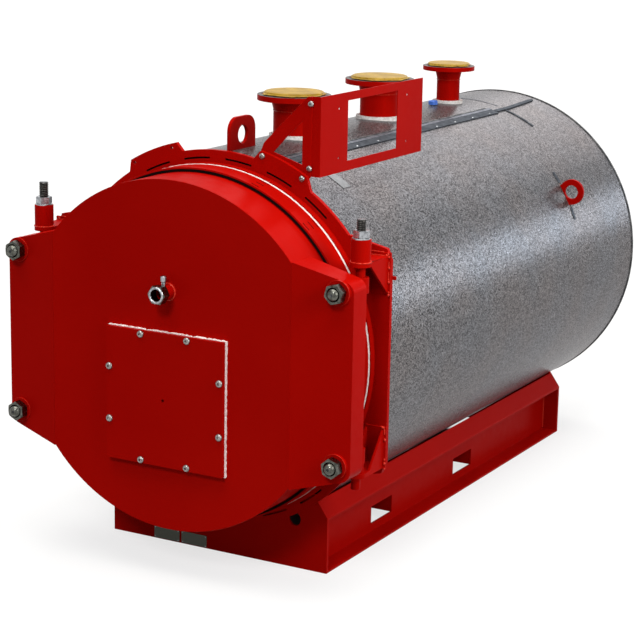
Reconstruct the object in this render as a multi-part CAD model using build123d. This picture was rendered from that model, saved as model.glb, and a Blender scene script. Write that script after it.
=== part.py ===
from build123d import *
import math
import os

os.makedirs("parts", exist_ok=True)

# Driving sizes in millimetres. Z is the height above the floor, X is measured from the middle.
# Lengths along the boiler are distances behind the door face, and door_y puts them in the frame.
shell_r = 530
shell_t = 8
insulation_t = 78
cladding_t = 2
cladding_r = shell_r + insulation_t + cladding_t
ground_clearance = 118
axis_z = cladding_r + ground_clearance      # boiler axis
wide = cladding_r / 610                     # cross-section of the whole boiler against the drawn one

sight_reach = 68                            # sight port ahead of the door face
ring_front = 285                            # front ring plate
ring_t = 15
ring_back = ring_front + ring_t
cladding_start = ring_back + 12
front_nozzle_run = 457.5                    # from the cladding's start to each nozzle in turn
middle_nozzle_run = 624.5
rear_nozzle_run = 583.5
rear_run = 501.5                            # from the rear nozzle to the cladding's rear rim
front_nozzle_y = cladding_start + front_nozzle_run
middle_nozzle_y = front_nozzle_y + middle_nozzle_run
rear_nozzle_y = middle_nozzle_y + rear_nozzle_run
cladding_end = rear_nozzle_y + rear_run
flue_reach = 100                            # flue spigot behind the cladding
door_y = sight_reach - (sight_reach + cladding_end + flue_reach) / 2
shell_end = cladding_end - 15
base_t = 12                                 # base end plates
base_end = cladding_end - 235
head_t = 20                                 # rear head and tube sheet

furnace_z = axis_z - 134 * wide             # furnace and burner axis
furnace_r = 270 * wide
furnace_t = 10
furnace_end = base_end - 144
tube_r = 32
outer_tube_circle = 455 * wide
inner_tube_circle = 355 * wide
outer_tube_angles = [-54 + 16 * k for k in range(19)]
inner_tube_angles = [-18 + 21.6 * k for k in range(11)]

ring_r = cladding_r + 10
slot_r = 594.5 * wide                       # middle of the ring plate's slots
slot_width = 6
slot_angles = [first + 15 * k for first in (52.5, 232.5) for k in range(6)]
door_r = 563 * wide
door_t = 6
band_inner = door_r - 12
lining_r = band_inner - 6
bend_x = 441 * wide                         # the door ears are bent back from this line
ear_x = bend_x + 196
ear_set_back = 29.5                         # distance of the ear's outer edge behind the flat face
ear_depth = 110
ear_root = 357 * wide                       # ear edge heights above and below the axis, at the door circle
ear_tip = ear_root - 53.5                   # and at the outer edge
ear_corner = 38

pin_x = ear_x - 47
pin_back = 157
pin_r = 15.0
eye_bore_r = 15.05
eye_r = 27
eye_height = 50
upper_eye_z = axis_z + ear_tip - 26.5       # clamp bolts
lower_eye_z = axis_z - ear_tip + 43.5
stud_r = 18
nut_flats = 55                              # M36

base_x = 416 * wide
base_top = (378 * wide, axis_z - 487 * wide)
base_shoulder = base_top[1] - 53
web_x = base_x - 70
sheet = 8
pocket_t = 6
pocket_height = 62
pocket_lift = 34
fork_pockets = {"front": (front_nozzle_y - 41.5, 154), "rear": (middle_nozzle_y - 13, 156)}

flange_top = axis_z + cladding_r + 146
face_rise = 3                               # raised face of a flange
cover_t = 3
bolt_hole_r = 9
# position, flange radius, thickness, pipe radius, wall, bolt circle radius, face radius, hub, cover
large = (125, 22, 69.85, 4.5, 105, 94, 78, 106)
small = (100, 20, 44.45, 3.6, 80, 69, 52.5, 95)
nozzles = {"front": (front_nozzle_y, large), "middle": (middle_nozzle_y, large), "rear": (rear_nozzle_y, small)}
neck_rise = 10                              # insulation collar round a nozzle
neck_width = 14
cap_y = rear_nozzle_y - 131.5
cap_r = 10.5
past = 20                                   # how far a cutting shape runs past what it cuts


def drawn(x, rise):
    """Point of the cross-section from its drawn X and its drawn height above the axis."""
    return (x * wide, axis_z + rise * wide)


def face_of(points):
    return make_face(Polyline(*points, close=True))


def disc(radius, x=0, z=axis_z):
    return Pos(x, z) * Circle(radius)


def box_of(x0, x1, z0, z1):
    return face_of([(x0, z0), (x1, z0), (x1, z1), (x0, z1)])


def along(outline, start, end):
    """Outline in X and Z, from one distance behind the door face to another."""
    return extrude(Plane.XZ.offset(-(door_y + start)) * outline, amount=start - end)


def across(points, x0, x1):
    """Outline in distance behind the door face and Z, between two X values."""
    outline = face_of([(door_y + a, b) for a, b in points])
    return extrude(Plane.YZ.offset(x0) * outline, amount=x1 - x0)


def upward(points, z0, z1):
    """Outline in X and distance behind the door face, between two heights."""
    outline = face_of([(a, door_y + b) for a, b in points])
    return extrude(Plane.XY.offset(z0) * outline, amount=z1 - z0)


def post(radius, x, back, z0, z1):
    return Pos(x, door_y + back, z0) * Cylinder(radius, z1 - z0, align=(Align.CENTER, Align.CENTER, Align.MIN))


def rod_across(radius, back, z, x0, x1):
    return Pos(x0, door_y + back, z) * Rot(Y=90) * Cylinder(
        radius, x1 - x0, align=(Align.CENTER, Align.CENTER, Align.MIN))


def turned(points, x, back):
    """Radius and height outline turned about a vertical line."""
    outline = Plane.XZ * face_of(points)
    return Pos(x, door_y + back, 0) * revolve(outline, Axis.Z)


def polar(radius, degrees):
    a = math.radians(degrees)
    return (radius * math.cos(a), axis_z + radius * math.sin(a))


def arc(radius, start, end):
    return ThreePointArc(polar(radius, start), polar(radius, (start + end) / 2), polar(radius, end))


def sector(r0, r1, start, end):
    """Piece of a ring about the boiler axis, in X and Z."""
    return make_face(arc(r1, start, end) + Line(polar(r1, end), polar(r0, end))
                     + arc(r0, end, start) + Line(polar(r0, start), polar(r1, start)))


def mirrored(shape):
    return mirror(shape, about=Plane.YZ)


parts = {}

# Base: end plates, side beams and fork pockets.
corner = math.hypot(base_top[0], axis_z - base_top[1])
inner = (shell_r - 4) / corner
root = (base_top[0] * inner, axis_z - (axis_z - base_top[1]) * inner)
half = [(base_x, 0), (base_x, base_shoulder), base_top, root]
end_outline = face_of(half + [(-x, z) for x, z in reversed(half)]) - disc(shell_r)
cable_holes = disc(23, base_x - 122, base_shoulder - 22) + disc(23, 122 - base_x, base_shoulder - 22)
parts["base_front_plate"] = along(end_outline - cable_holes, ring_back, cladding_start)
rear_plate = along(end_outline, base_end - base_t, base_end)
parts["base_rear_plate"] = rear_plate

slope = (base_top[0] - base_x, base_top[1] - base_shoulder)
slope_length = math.hypot(*slope)
inward = (-slope[1] * sheet / slope_length, slope[0] * sheet / slope_length)
slope_foot = base_x + inward[0] - slope[0] * inward[1] / slope[1]
beam_outline = (box_of(web_x, web_x + sheet, 0, base_shoulder)
                + box_of(web_x, base_x, 0, sheet)
                + box_of(web_x, base_x, base_shoulder - sheet, base_shoulder)
                + face_of([(base_x, base_shoulder), base_top,
                           (base_top[0] + inward[0], base_top[1] + inward[1]),
                           (slope_foot, base_shoulder)]))
beam = along(beam_outline, cladding_start, base_end - base_t)
for name, (near, span) in fork_pockets.items():
    low, high, t = pocket_lift, pocket_lift + pocket_height, pocket_t
    far = near + span
    beam -= across([(near, low), (far, low), (far, high), (near, high)], web_x - 1, web_x + sheet + 1)
    parts[f"fork_pocket_{name}"] = across(
        [(near - t, low), (near, low), (near, high), (far, high), (far, low), (far + t, low),
         (far + t, high + t), (near - t, high + t)], -web_x, web_x)
parts["base_beam_right"] = beam
parts["base_beam_left"] = mirrored(beam)

# Front ring plate with its ears, tabs, slots and sealing lip.
ear_profile = ((480, 388), (613, 359), (621, 336), (627, 325))


def plate_ear(side, lift):
    """Ear of the ring plate on one side, with its middle above or below the axis."""
    top = [(side * x, lift + rise) for x, rise in ear_profile]
    bottom = [(side * x, lift - rise) for x, rise in reversed(ear_profile)]
    return face_of([drawn(x, rise) for x, rise in top + bottom])


ring_outline = disc(ring_r) + plate_ear(1, 10) + plate_ear(-1, -5)
tab_r = ring_r + 31 * wide
foot_r = ring_r - 8
for a, b, c, d in ((56, 60, 76, 78), (102, 104, 120.7, 123.6)):
    ring_outline += make_face(arc(tab_r, b, c) + Line(polar(tab_r, c), polar(foot_r, d))
                              + Line(polar(foot_r, d), polar(foot_r, a)) + Line(polar(foot_r, a), polar(tab_r, b)))
ring_outline -= disc(shell_r)
tab_holes = [Pos(*polar(ring_r + 17 * wide, a)) * Circle(5.5) for a in (61, 75, 106, 120)]
for hole in tab_holes:
    ring_outline -= hole
for middle in slot_angles:
    ring_outline -= sector(slot_r - slot_width / 2, slot_r + slot_width / 2, middle - 4.7, middle + 4.7)
lip = along(disc(door_r + 17) - disc(door_r + 3), ring_front - 25, ring_front)
parts["front_ring_plate"] = along(ring_outline, ring_front, ring_back) + lip

# Pressure shell, ends, furnace.
nozzle_posts = [post(size[2], 0, back, axis_z, flange_top) for back, size in nozzles.values()]
pocket_hole = post(cap_r, 0, cap_y, axis_z, flange_top)
shell_solid = along(disc(shell_r), ring_front, shell_end)
shell_bore = along(disc(shell_r - shell_t), ring_front, shell_end)
shell = shell_solid - shell_bore - pocket_hole
for cut in nozzle_posts:
    shell -= cut
parts["pressure_shell"] = shell
sheet_outline = disc(shell_r - shell_t) - disc(furnace_r, 0, furnace_z)
for radius, angles in ((outer_tube_circle, outer_tube_angles), (inner_tube_circle, inner_tube_angles)):
    for angle in angles:
        sheet_outline -= disc(tube_r, *polar(radius, angle))
sheet_front = ring_front + 3
parts["tube_sheet"] = along(sheet_outline, sheet_front, sheet_front + head_t)
parts["rear_head"] = along(disc(shell_r - shell_t), base_end - head_t, base_end)
furnace = along(disc(furnace_r, 0, furnace_z), sheet_front, furnace_end)
parts["furnace_tube"] = furnace - along(disc(furnace_r - furnace_t, 0, furnace_z), sheet_front - past,
                                        furnace_end - 15)

# Lifting eyes.
eye_t = 12
eye_front, eye_back = cladding_start + 38, cladding_start + 196
eye_middle = (eye_front + eye_back) / 2 + 1
eye_top = axis_z + cladding_r + 105
blank = across([(eye_front, axis_z), (eye_back, axis_z), (eye_back, eye_top), (eye_front, eye_top)],
               -eye_t / 2, eye_t / 2)
blank = fillet(blank.edges().filter_by(Axis.X).group_by(Axis.Z)[-1], 46)
lifting_eye = blank - rod_across(30, eye_middle, eye_top - 59, -past, past) - shell_solid
parts["lifting_eye_front"] = lifting_eye
side_angle = 29.6
side_eye_r = 48
side_eye_reach = cladding_r + 28
side_eye_centre = polar(side_eye_reach, side_angle)
foot_angle = math.degrees(36 / shell_r)
side_outline = (disc(side_eye_r, *side_eye_centre)
                + sector(shell_r - 10, side_eye_reach, side_angle - foot_angle, side_angle + foot_angle)
                - disc(26, *side_eye_centre) - disc(shell_r))
side_eye_y = rear_nozzle_y - 49.5
side_eye = along(side_outline, side_eye_y - eye_t / 2, side_eye_y + eye_t / 2)
parts["lifting_eye_right"] = side_eye
parts["lifting_eye_left"] = mirrored(side_eye)

# Insulation and cladding, with cut-outs for all that passes through them.
slit_angle = math.degrees((side_eye_r + 31) / shell_r)
slit_right = along(sector(shell_r - 10, cladding_r + 10, side_angle - slit_angle, side_angle + slit_angle),
                   side_eye_y - 8, side_eye_y + 8)
slit_top = across([(eye_front - 6, axis_z), (eye_back + 6, axis_z), (eye_back + 6, flange_top),
                   (eye_front - 6, flange_top)], -8, 8)
wraps = [slit_right, mirrored(slit_right), slit_top, pocket_hole, rear_plate]
insulation = along(disc(cladding_r - cladding_t) - disc(shell_r), cladding_start, shell_end)
cladding = along(disc(cladding_r) - disc(cladding_r - cladding_t), cladding_start, cladding_end)
for back, size in nozzles.values():
    neck = post(size[2] + neck_width, 0, back, axis_z, axis_z + cladding_r + neck_rise)
    insulation += neck - shell_solid
    cladding -= neck
for cut in wraps + nozzle_posts:
    insulation -= cut
for cut in wraps:
    cladding -= cut
parts["shell_insulation"] = insulation
parts["cladding"] = cladding
flue_r = 125
parts["rear_panel"] = along(disc(cladding_r - cladding_t) - disc(flue_r), shell_end, shell_end + 12)
parts["flue_spigot"] = along(disc(flue_r) - disc(flue_r - 3), shell_end, cladding_end + flue_reach)

# Flanged nozzles with their covers, and the sensor cap.
for name, (back, size) in nozzles.items():
    flange_r, thick, pipe_r, wall, bolt_r, face_r, hub_r, cover_r = size
    bore = pipe_r - wall
    step = flange_top - face_rise
    nozzle = turned([(bore, axis_z), (pipe_r, axis_z), (pipe_r, flange_top - thick - 33), (hub_r, flange_top - thick),
                     (flange_r, flange_top - thick), (flange_r, step), (face_r, step),
                     (face_r, flange_top), (bore, flange_top)], 0, back)
    nozzle -= shell_bore
    for k in range(8):
        a = math.radians(22.5 + 45 * k)
        nozzle -= post(bolt_hole_r, bolt_r * math.cos(a), back + bolt_r * math.sin(a),
                       flange_top - thick - past, flange_top + past)
    parts[f"nozzle_{name}"] = nozzle
    parts[f"nozzle_cover_{name}"] = post(cover_r, 0, back, flange_top, flange_top + cover_t)
parts["sensor_cap"] = turned([(0, axis_z), (cap_r, axis_z), (cap_r, axis_z + cladding_r),
                              (18, axis_z + cladding_r), (18, axis_z + cladding_r + 14),
                              (15, axis_z + cladding_r + 18), (0, axis_z + cladding_r + 18)], 0, cap_y) - shell_bore

# Control gusset and plate.
gusset = face_of([drawn(x, rise) for x, rise in (
    (333, 813), (318, 812), (200, 696), (161, 656), (151, 630), (151, 606), (230, 574), (300, 534), (330, 560))])
gusset -= face_of([drawn(x, rise) for x, rise in ((300, 736), (246, 683), (197, 630), (300, 598))])
for hole in tab_holes[:2]:
    gusset -= hole
gusset_t = 4
panel_start = ring_back + gusset_t
parts["control_gusset"] = along(gusset, ring_back, panel_start)
plate_x, plate_low = drawn(362, 563)
plate_high = plate_low + 250
plate_t = 3
plate_end = panel_start + 708
control = across([(panel_start, plate_low), (plate_end, plate_low), (plate_end, plate_high),
                  (panel_start, plate_high)], plate_x - plate_t, plate_x)
control += along(box_of(plate_x - 37, plate_x, plate_low, plate_high), panel_start, panel_start + plate_t)
control -= across([(panel_start + 178, plate_low + 31), (plate_end - 185, plate_low + 31),
                   (plate_end - 185, plate_high - 27), (panel_start + 178, plate_high - 27)],
                  plate_x - past, plate_x + past)
for back in (panel_start + 120, plate_end - 115):
    for z in (plate_low + 47, plate_high - 47):
        control -= rod_across(4, back, z, plate_x - past, plate_x + past)
parts["control_plate"] = control

# Hinge brackets on the ring plate, and their pins.
bracket_x0, bracket_x1 = pin_x - 35, pin_x + 32
bracket_mid = (bracket_x0 + bracket_x1) / 2
half_width = (bracket_x1 - bracket_x0) / 2
upper_shelves = {"right": upper_eye_z + 57, "left": upper_eye_z + 43}
collar_r = 31
collar_height = 70
lower_shelf = lower_eye_z - 68
shelf_t = 14
washer_r, washer_t = 28, 4
pin_nut_flats, pin_nut_height = 46, 24      # M30
thrust_collar_r = 24
tail_r = 10


def shelf(z0, z1):
    flat = upward([(bracket_x0, pin_back), (bracket_x1, pin_back), (bracket_x1, ring_front),
                   (bracket_x0, ring_front)], z0, z1)
    return flat + post(half_width, bracket_mid, pin_back, z0, z1)


def rear_plate_of(z0, z1):
    """Plate behind a shelf, flat on the ring plate."""
    return along(box_of(bracket_x0, pin_x + 40, z0, z1), ring_front - sheet, ring_front)


def pin_hole(z0, z1):
    return post(eye_bore_r, pin_x, pin_back, z0 - past, z1 + past)


def upper_bracket(low):
    top = low + shelf_t
    bracket = shelf(low, top) + rear_plate_of(low - 104, top + 11)
    bracket += post(collar_r, pin_x, pin_back, top, top + collar_height)
    for x in (bracket_x0, bracket_x1 - sheet):
        bracket += across([(pin_back + 9, low), (ring_front, low), (ring_front, low - 110)], x, x + sheet)
    return bracket - pin_hole(low, top + collar_height)


def lower_bracket(low):
    top = low + shelf_t
    bracket = shelf(low, top) + rear_plate_of(low, top + 119)
    for x in (bracket_x0, bracket_x1 - sheet):
        bracket += across([(ring_front, top + 111), (ring_front - sheet - 1, top + 111), (pin_back + 30, top),
                           (ring_front, top)], x, x + sheet)
    return bracket - pin_hole(low, top)


def upper_pin(low, bottom, reach):
    """Pin from its lower end, with a washer and nut on the collar and its end above them."""
    seat = low + shelf_t + collar_height
    top = seat + reach
    pin = turned([(0, bottom), (pin_r - 2, bottom), (pin_r, bottom + 2), (pin_r, top - 2),
                  (pin_r - 2, top), (0, top)], pin_x, pin_back)
    pin += post(washer_r, pin_x, pin_back, seat, seat + washer_t)
    nut = extrude(RegularPolygon(pin_nut_flats / math.sqrt(3), 6), amount=pin_nut_height)
    return pin + Pos(pin_x, door_y + pin_back, seat + washer_t) * nut


def lower_pin(shoulder, top):
    """Pin with a thrust collar on the shelf and a thinner tail below it."""
    seat = lower_shelf + shelf_t
    return turned([(0, lower_shelf - 41), (tail_r, lower_shelf - 41), (tail_r, lower_shelf - 1),
                   (pin_r, lower_shelf - 1), (pin_r, seat), (thrust_collar_r, seat), (thrust_collar_r, shoulder),
                   (pin_r, shoulder), (pin_r, top - 2), (pin_r - 2, top), (0, top)], pin_x, pin_back)


parts["hinge_bracket_right_upper"] = upper_bracket(upper_shelves["right"])
parts["hinge_bracket_left_upper"] = mirrored(upper_bracket(upper_shelves["left"]))
parts["hinge_bracket_right_lower"] = lower_bracket(lower_shelf)
parts["hinge_bracket_left_lower"] = mirrored(lower_bracket(lower_shelf))
parts["hinge_pin_right_upper"] = upper_pin(upper_shelves["right"], upper_eye_z - 31, 61)
parts["hinge_pin_left_upper"] = mirrored(upper_pin(upper_shelves["left"], upper_eye_z + 32, 76))
parts["hinge_pin_right_lower"] = lower_pin(lower_eye_z - eye_height / 2 - 0.2, lower_eye_z + 31)
parts["hinge_pin_left_lower"] = mirrored(lower_pin(lower_shelf + shelf_t + 17, lower_shelf + shelf_t + 21))

# Door: flat face, bands, and the bent ear boxes.
sight_z = axis_z + 212 * wide
sight_r = 24
sight_bore_r = 18.5
throat_r = 150
door_high = door_r + 100
inside_bend = box_of(-bend_x, bend_x, axis_z - door_high, axis_z + door_high)
door_holes = disc(throat_r, 0, furnace_z) + disc(sight_r, 0, sight_z)
parts["door_face"] = along((disc(door_r) & inside_bend) - door_holes, 0, door_t)

bend = math.atan2(ear_set_back, ear_x - bend_x)
skin = door_t / math.cos(bend)
ear_end = ear_x + 63
slope_to = ear_set_back * (ear_end - bend_x) / (ear_x - bend_x)
ahead = upward([(bend_x, -60), (bend_x, skin), (ear_end, slope_to + skin), (ear_end, -60)], 0, axis_z + door_high)
ahead_both = ahead + mirrored(ahead)


def ear_outline(inset):
    x0, x1 = bend_x - 6, ear_x - inset
    run = ear_x - x0
    tip = axis_z + ear_tip + (ear_root - ear_tip) * inset / run - inset
    top = axis_z + ear_root - inset
    low_tip, low = 2 * axis_z - tip, 2 * axis_z - top
    outline = face_of([(x0, low), (x1, low_tip), (x1, tip), (x0, top)])
    corners = [v for v in outline.vertices() if v.X > x1 - 1]
    return fillet(corners, ear_corner - inset)


def ear_block(inset, front, back):
    plan = [(bend_x, front), (ear_x - inset, front + ear_set_back * (ear_x - inset - bend_x) / (ear_x - bend_x)),
            (ear_x - inset, back), (bend_x, back)]
    return upward(plan, 0, axis_z + door_high) & along(ear_outline(inset), -1, ear_depth + 90)


front_skin = upward([(bend_x, 0), (ear_x, ear_set_back), (ear_x, ear_set_back + skin), (bend_x, skin)],
                    0, axis_z + door_high) & along(ear_outline(0), -1, ear_depth + 90)
walls = ear_block(0, 0, ear_depth) - ear_block(door_t, -90, ear_depth + 1)
walls -= along(disc(door_r), -1, ear_depth + 90)
boss_front, boss_back, boss_r = 14, 40, 39
ear = front_skin + walls
for z in (upper_eye_z, lower_eye_z):
    ear += along(disc(boss_r, pin_x, z), boss_front, boss_back)
for z in (upper_eye_z, lower_eye_z):
    ear -= along(disc(stud_r + 1, pin_x, z), boss_front - past, boss_back + past)
parts["door_ear_right"] = ear
parts["door_ear_left"] = mirrored(ear)

band_end = pin_back + 7
band = along(disc(door_r) - disc(door_r - 6), door_t, band_end) - ahead_both
for z in (upper_eye_z, lower_eye_z):
    for x in (pin_x, -pin_x):
        band -= along(disc(boss_r, x, z), 0, boss_back + past)
band += along(disc(door_r - 6) - disc(band_inner), band_end - 6, band_end)
parts["door_band"] = band
frame_end = ring_front - 38
frame = along(disc(band_inner) - disc(lining_r), 30, frame_end)
frame += along(disc(door_r + 15) - disc(band_inner), band_end + 4, band_end + 8)
frame += along(disc(door_r + 15) - disc(door_r + 12), band_end + 8, frame_end)
parts["door_frame"] = frame
gasket = along(disc(door_r + 12) - disc(band_inner + 4), frame_end - 11, frame_end)
parts["door_gasket"] = gasket + along(disc(door_r + 17) - disc(band_inner + 4), frame_end, ring_front - 25.5)
chamber = 150                               # front of the flue gas chamber inside the door
lining = along(disc(lining_r), door_t, chamber) + along(disc(lining_r) - disc(500 * wide), chamber, frame_end - 7)
lining -= along(door_holes, 0, frame_end)
parts["door_insulation"] = lining - ahead_both

# Burner plate with its gasket and the throat.
plate_half = 216
screw_far, screw_side = 205, 86
gasket_t, burner_plate_t = 10, 15
square = box_of(-plate_half, plate_half, furnace_z - plate_half, furnace_z + plate_half)
for a, b in ((screw_far, screw_side), (screw_side, screw_far)):
    for i in (1, -1):
        for j in (1, -1):
            square -= disc(6.75, a * i, furnace_z + b * j)
parts["burner_plate"] = along(square - disc(5, -3, furnace_z), -gasket_t - burner_plate_t, -gasket_t)
parts["burner_gasket"] = along(square - disc(throat_r, 0, furnace_z), -gasket_t, 0)
parts["burner_throat"] = along(disc(throat_r, 0, furnace_z) - disc(throat_r - 10, 0, furnace_z), 0, chamber)

# Sight port and its valve.
sight_flats = 55
port = along(disc(sight_r, 0, sight_z), -40, chamber)
hexagon = Pos(0, sight_z) * RegularPolygon(sight_flats / math.sqrt(3), 6)
port += along(hexagon, -sight_reach, -36)
parts["sight_port"] = port - along(disc(sight_bore_r, 0, sight_z), -sight_reach - past, chamber + past)
parts["sight_valve"] = post(9.5, 0, -25, sight_z, sight_z + 54) - along(disc(sight_r, 0, sight_z), -60, past)


# Eye bolts that clamp the door and carry it on the pins.
def eye_bolt(x, z):
    rod = along(disc(stud_r, x, z), boss_front - 41, pin_back)
    nut = Pos(x, z) * RegularPolygon(nut_flats / math.sqrt(3), 6)
    rod += along(nut, boss_front - 29, boss_front) + along(nut, boss_back, boss_back + 18)
    low, high = z - eye_height / 2, z + eye_height / 2
    rod += post(eye_r, x, pin_back, low, high)
    return rod - post(eye_bore_r, x, pin_back, low - 1, high + 1)


for side, x in (("right", pin_x), ("left", -pin_x)):
    for level, z in (("upper", upper_eye_z), ("lower", lower_eye_z)):
        parts[f"eye_bolt_{side}_{level}"] = eye_bolt(x, z)

for name, shape in parts.items():
    export_step(shape, f"parts/{name}.step")
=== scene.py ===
import math
import random

import bmesh
import bpy
from mathutils import Matrix, Vector

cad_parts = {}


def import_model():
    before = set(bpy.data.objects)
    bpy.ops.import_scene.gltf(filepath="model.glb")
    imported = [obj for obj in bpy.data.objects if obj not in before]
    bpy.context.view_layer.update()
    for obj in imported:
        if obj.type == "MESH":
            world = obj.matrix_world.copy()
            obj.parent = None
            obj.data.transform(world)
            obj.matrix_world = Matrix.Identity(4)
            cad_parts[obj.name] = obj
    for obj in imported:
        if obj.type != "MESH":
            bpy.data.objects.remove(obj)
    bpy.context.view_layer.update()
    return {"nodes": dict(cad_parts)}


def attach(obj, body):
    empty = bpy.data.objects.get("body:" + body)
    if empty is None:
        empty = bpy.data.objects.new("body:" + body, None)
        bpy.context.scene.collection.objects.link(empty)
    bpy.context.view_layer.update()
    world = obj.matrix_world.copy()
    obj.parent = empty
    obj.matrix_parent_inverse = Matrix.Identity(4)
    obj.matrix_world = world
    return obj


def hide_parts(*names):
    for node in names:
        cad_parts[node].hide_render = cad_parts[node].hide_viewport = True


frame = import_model()
nodes = frame["nodes"]
rng = random.Random(7)

# Sizes and places are in metres, angles in degrees. Back is a distance behind the door's face,
# which stands at Y = DOOR_FACE. The boiler's axis is at height AXIS, the furnace's at FURNACE.
BODY, DOOR = "boiler_body", "door"
DOOR_FACE = -1.2555
AXIS = 0.728
FURNACE = 0.594
CLADDING_R = 0.610
RING_SLOT_R = 0.5945
PIN_X = 0.590
PIN_BACK = 0.157
PIN_R = 0.015
CLAMP_LEVELS = {"upper": 1.005, "lower": 0.468}
SIGHT_LEVEL = 0.940
FLANGE_TOP = 1.484
# Distance back, radius of the flange and radius of the neck
NOZZLES = {"front": (0.7695, 0.125, 0.0700),
           "middle": (1.394, 0.125, 0.0700),
           "rear": (1.9775, 0.100, 0.0447)}

# Distances under which points are one, and face angles that are flat, get rounded or shade smooth
SAME_PLACE = 1e-6
CAD_MERGE = 1e-5
FLAT_WITHIN = 0.6
ROUND_ABOVE = 30.0
SMOOTH_BELOW = 38.0


def at(x, back, z):
    """The place at X, at a distance behind the door's face and at a height."""
    return Vector((x, DOOR_FACE + back, z))


def polar(radius, degrees, back):
    """The place at a radius and angle about the boiler's axis, seen from the front."""
    a = math.radians(degrees)
    return at(radius * math.cos(a), back, AXIS + radius * math.sin(a))


# Materials
def worked(tree, operation, *values):
    """The result of a math node, from sockets and numbers."""
    made = tree.nodes.new("ShaderNodeMath")
    made.operation = operation
    for socket, value in zip(made.inputs, values):
        if isinstance(value, bpy.types.NodeSocket):
            tree.links.new(value, socket)
        else:
            socket.default_value = value
    return made.outputs[0]


class Finish:
    """A material with its principled shader and short ways to add nodes."""

    def __init__(self, name, colour, metallic=0.0, roughness=0.5, specular=0.5):
        self.material = bpy.data.materials.new(name)
        self.material.use_nodes = True
        self.tree = self.material.node_tree
        self.shader = self.tree.nodes["Principled BSDF"]
        self.shader.inputs["Base Color"].default_value = (*colour, 1)
        self.shader.inputs["Metallic"].default_value = metallic
        self.shader.inputs["Roughness"].default_value = roughness
        self.shader.inputs["Specular IOR Level"].default_value = specular
        self.place = self.tree.nodes.new("ShaderNodeTexCoord").outputs["Object"]

    def node(self, kind, **inputs):
        made = self.tree.nodes.new("ShaderNode" + kind)
        for key, value in inputs.items():
            socket = made.inputs[key.replace("_", " ")]
            if isinstance(value, bpy.types.NodeSocket):
                self.tree.links.new(value, socket)
            else:
                socket.default_value = value
        return made

    def link(self, output, name):
        self.tree.links.new(output, self.shader.inputs[name])

    def tint(self, *colour):
        self.shader.inputs["Specular Tint"].default_value = (*colour, 1)

    def stretched(self, scale):
        return self.node("Mapping", Vector=self.place, Scale=scale).outputs["Vector"]

    def noise(self, scale, detail, vector=None):
        return self.node("TexNoise", Vector=vector or self.place, Scale=scale, Detail=detail).outputs["Fac"]

    def cells(self, scale, output="Distance"):
        return self.node("TexVoronoi", Vector=self.place, Scale=scale).outputs[output]

    def cell_colours(self, scale):
        return self.node("SeparateColor", Color=self.cells(scale, "Color")).outputs

    def spread(self, value, low, high, to_low=0.0, to_high=1.0):
        made = self.node("MapRange", Value=value, From_Min=low, From_Max=high, To_Min=to_low,
                         To_Max=to_high)
        return made.outputs["Result"]

    def mix(self, factor, first, second):
        """A colour between two, whose sockets on the node are numbers 6 and 7."""
        made = self.tree.nodes.new("ShaderNodeMix")
        made.data_type = "RGBA"
        for index, value in ((0, factor), (6, first), (7, second)):
            if isinstance(value, bpy.types.NodeSocket):
                self.tree.links.new(value, made.inputs[index])
            else:
                made.inputs[index].default_value = value if index == 0 else (*value, 1)
        return made.outputs[2]

    def bump(self, height, depth, strength, under=None):
        made = self.node("Bump", Height=height, Distance=depth, Strength=strength)
        if under:
            self.tree.links.new(under, made.inputs["Normal"])
        return made.outputs["Normal"]

    def mottled(self, scale, detail, low, high, first, second):
        """Base colour that goes from first to second as the noise rises from low to high."""
        mottle = self.spread(self.noise(scale, detail), low, high)
        self.link(self.mix(mottle, first, second), "Base Color")

    def rough(self, scale, detail, low, high):
        """Roughness that wanders from low to high with the noise."""
        self.link(self.spread(self.noise(scale, detail), 0.3, 0.7, low, high), "Roughness")

    def grain(self, scale, detail, depth, strength, under=None):
        """Fine relief from noise, over another relief where one is given."""
        self.link(self.bump(self.noise(scale, detail), depth, strength, under), "Normal")


def red_paint():
    f = Finish("red paint", (0.37, 0.004, 0.001), metallic=0.10, roughness=0.36, specular=0.012)
    f.tint(1.0, 0.22, 0.06)
    drift = f.spread(f.noise(2.2, 2), 0.3, 0.7)
    tone = f.mix(drift, (0.35, 0.0020, 0.0008), (0.39, 0.0030, 0.0012))
    specks = f.spread(f.noise(420, 4), 0.66, 0.74)
    f.link(f.mix(specks, tone, (0.43, 0.010, 0.008)), "Base Color")
    f.rough(35, 4, 0.30, 0.42)
    waves = f.bump(f.noise(5, 2), 0.004, 0.25)
    f.grain(650, 2, 0.00015, 0.35, waves)
    return f.material


def weld_paint():
    f = Finish("painted weld", (0.58, 0.024, 0.012), roughness=0.22, specular=0.3)
    f.tint(1.0, 0.35, 0.25)
    f.mottled(260, 3, 0.35, 0.7, (0.45, 0.010, 0.006), (0.68, 0.045, 0.024))
    f.grain(500, 3, 0.0005, 0.5)
    return f.material


def stucco_sheet():
    f = Finish("stucco galvanised sheet", (0.13, 0.13, 0.134), metallic=0.62, roughness=0.3, specular=0.2)
    f.tint(0.66, 0.64, 0.655)
    coarse_scale, fine_scale = 255, 470
    coarse, fine = f.cell_colours(coarse_scale), f.cell_colours(fine_scale)
    both = worked(f.tree, "MULTIPLY_ADD", coarse["Red"], 1.2, fine["Green"])
    tone = f.spread(both, 0.62, 1.62)
    cool = f.mix(tone, (0.004, 0.005, 0.006), (0.228, 0.233, 0.248))
    warm = f.mix(tone, (0.006, 0.005, 0.005), (0.242, 0.226, 0.225))
    clouds = f.spread(f.noise(3.5, 3), 0.35, 0.65)
    f.link(f.mix(clouds, cool, warm), "Base Color")
    f.link(f.spread(coarse["Blue"], 0.0, 1.0, 0.26, 0.34), "Roughness")
    embossed = f.bump(f.cells(coarse_scale), 0.0006, 0.17)
    f.grain(fine_scale, 2, 0.0002, 0.17, embossed)
    return f.material


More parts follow.
